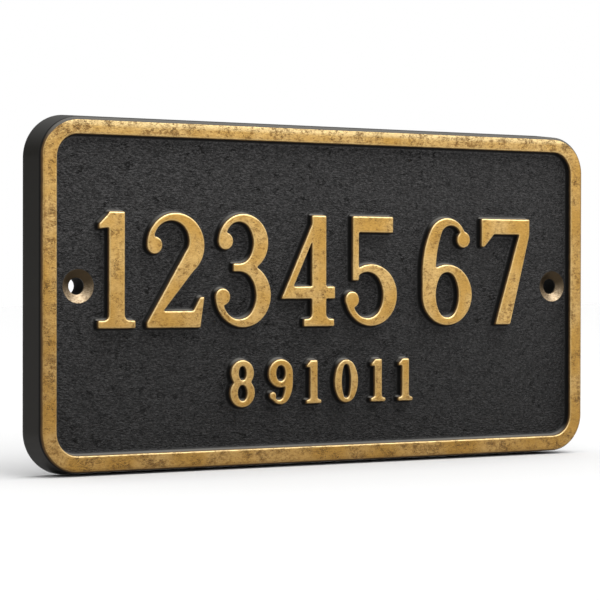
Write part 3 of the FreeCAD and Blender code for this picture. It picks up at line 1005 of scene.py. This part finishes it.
# Painted highlight: faces that look up are painted grey.
ground = finish.mix(facing_up * off_wall * 0.6, ground, HIGHLIGHT_GREY)
under_brass = finish.step(lift + patch * 0.6, RELIEF - 0.9, RELIEF + 0.1, 0.0, 0.95)
ground = finish.mix(under_brass * (1 - top_edge), ground, RUST)
# Painted highlight: a grey band along the rim's rolled top edge.
rolled_top = finish.step(lift, RELIEF - 1.5, RELIEF - 0.5, 0.0, 0.45)
ground = finish.mix(top_edge * rolled_top, ground, HIGHLIGHT_GREY)
print("ground colours mixed,", len(finish.tree.nodes), "nodes so far")

# %% [markdown]
# The countersinks are cut after the casting is blackened, so they are bare metal that has
# only dulled to bronze. The top half of each cone faces down and is painted in shade, so the
# lower half, which faces up, is lighter. The last mix puts ground, brass and bronze together
# by their masks.

# %% Colours of the countersinks, and all together
BRONZE, DARK_BRONZE, SHADED_BRONZE = (0.50, 0.39, 0.26), (0.18, 0.125, 0.07), (0.045, 0.031, 0.017)
bronze = finish.mix(finish.step(grain, 0.3, 0.7), BRONZE, DARK_BRONZE)
bronze = finish.mix(finish.step(upwards, -0.25, 0.45), SHADED_BRONZE, bronze)
colour = finish.mix(sink, finish.mix(bared, ground, gold), bronze)
print("colour ready,", len(finish.tree.nodes), "nodes so far")

# %% [markdown]
# Black dye is no metal, while bare brass is one, and tarnish lies between the two. Brass is
# smoother than the ground, roughest where it is tarnished. The bump is shallow: it adds
# the wrinkles between the sand's larger marks, which are in the mesh, and scratches and
# pores on the brass. Each height stays near zero, so that no step shows where masks end.

# %% Metal, gloss and grain
BUMP_DEPTH = 0.0013
DYE_GLOSS = 0.18
metal = (1 - tarnish) * bared * (1 - sink) + sink * 0.85
rough_brass = 0.33 + strokes * 0.14 + tarnish * 0.25 - near_edge * 0.06
rough_black = 0.46 + flank * 0.4 - finish.step(grain, 0.48, 0.68) * 0.14 * open_field
metallic_parts = bared + sink
roughness = rough_black * (1 - metallic_parts) + rough_brass * metallic_parts
field_height_map = (wrinkle + pits * 0.3 - 0.8) * open_field
brass_height_map = ((strokes - 0.5) * 0.07 + (dust - 0.5) * 0.03 - specks * 0.08) * bared
relief = finish.node("ShaderNodeBump", sockets={
    "Strength": 1.0, "Distance": BUMP_DEPTH, "Height": field_height_map + brass_height_map})
shader = finish.node("ShaderNodeBsdfPrincipled", sockets={
    "Base Color": colour, "Metallic": metal, "Roughness": roughness, "Normal": relief,
    "Specular IOR Level": DYE_GLOSS})
finish.node("ShaderNodeOutputMaterial", sockets={"Surface": shader})
skin.materials.append(brass)
print("finish of", len(finish.tree.nodes), "nodes")

# %% [markdown]
# The plaque stands on a plain pale floor. The floor is matt and not quite white, so that
# it comes out white under the lamps and still holds a soft grey shade along the plaque.

# %% Floor
FLOOR_HALF = 4.0
PAPER = (0.585, 0.585, 0.585)
floor_z = box_low[2]
floor_corners = [(x * FLOOR_HALF, y * FLOOR_HALF, floor_z) for x, y in ((-1, -1), (1, -1), (1, 1), (-1, 1))]
floor_mesh = bpy.data.meshes.new("floor")
floor_mesh.from_pydata(floor_corners, [], [(0, 1, 2, 3)])
floor = bpy.data.objects.new("floor", floor_mesh)
bpy.context.collection.objects.link(floor)
paper = bpy.data.materials.new("pale_floor")
paper_finish = Finish(paper)
paper_shader = paper_finish.node("ShaderNodeBsdfPrincipled", sockets={
    "Base Color": PAPER, "Roughness": 0.9, "Specular IOR Level": 0.0})
paper_finish.node("ShaderNodeOutputMaterial", sockets={"Surface": paper_shader})
floor_mesh.materials.append(paper)
print("floor at", round(floor_z / MM, 2), "mm")

# %% [markdown]
# Most of the light falls from above, from a very wide sun that casts no hard shadow. It
# catches the edges that face up. One soft panel to the right and in front gives the brass
# something to mirror, while the left wall, which faces away from it, stays dark.

# %% Lamps
SUN_WAY, SUN_STRENGTH, SUN_SPREAD = Vector((-0.2, 0.25, -1.0)), 2.1, math.radians(60)
PANEL_AT, PANEL_WATTS, PANEL_SIZE = Vector((1.0, -1.5, 0.85)), 12.0, 1.2


def lamp(name, kind, way, at=(0.0, 0.0, 0.0)):
    """A lamp of some kind that shines along a way. Returns its data for strength and size."""
    data = bpy.data.lights.new(name, kind)
    made = bpy.data.objects.new(name, data)
    made.location = at
    made.rotation_mode = "QUATERNION"
    made.rotation_quaternion = way.to_track_quat("-Z", "Y")
    bpy.context.collection.objects.link(made)
    return data


panel = lamp("panel", "AREA", -PANEL_AT, PANEL_AT)
panel.energy, panel.size = PANEL_WATTS, PANEL_SIZE
sun = lamp("window", "SUN", SUN_WAY)
sun.energy, sun.angle = SUN_STRENGTH, SUN_SPREAD
print("lamps:", [light.name for light in bpy.data.lights])

# %% [markdown]
# The sky lights the plaque and is mirrored in it, but isn't seen: the camera sees plain
# white, which the light path tells apart. The sky that gives light is bright in front and
# to the right and dim behind, and it adds a glow overhead, which brings out the top edges.

# %% Sky
BRIGHT_SIDE = (0.35, -0.7, 0.62)
WHITE = (1.0, 1.0, 1.0)
sky = bpy.data.worlds.new("sky")
bpy.context.scene.world = sky
air = Finish(sky)
way = air.node("ShaderNodeTexCoord", output="Generated")
towards = air.value("ShaderNodeVectorMath", {"operation": "DOT_PRODUCT"}, {0: way, 1: BRIGHT_SIDE}, "Value")
overhead = air.part(way, 2)
strength = air.step(towards, -0.5, 0.85, 0.05, 0.55) + air.step(overhead, 0.12, 0.7, 0.0, 0.8)
lit = air.node("ShaderNodeBackground", sockets={"Color": WHITE, "Strength": strength})
seen = air.node("ShaderNodeBackground", sockets={"Color": WHITE, "Strength": 1.0})
direct = air.node("ShaderNodeLightPath", output="Is Camera Ray")
both = air.node("ShaderNodeMixShader", sockets={0: direct, 1: lit, 2: seen})
air.node("ShaderNodeOutputWorld", sockets={"Surface": both})
bpy.context.scene.view_settings.view_transform = "Standard"
print("sky of", len(air.tree.nodes), "nodes")
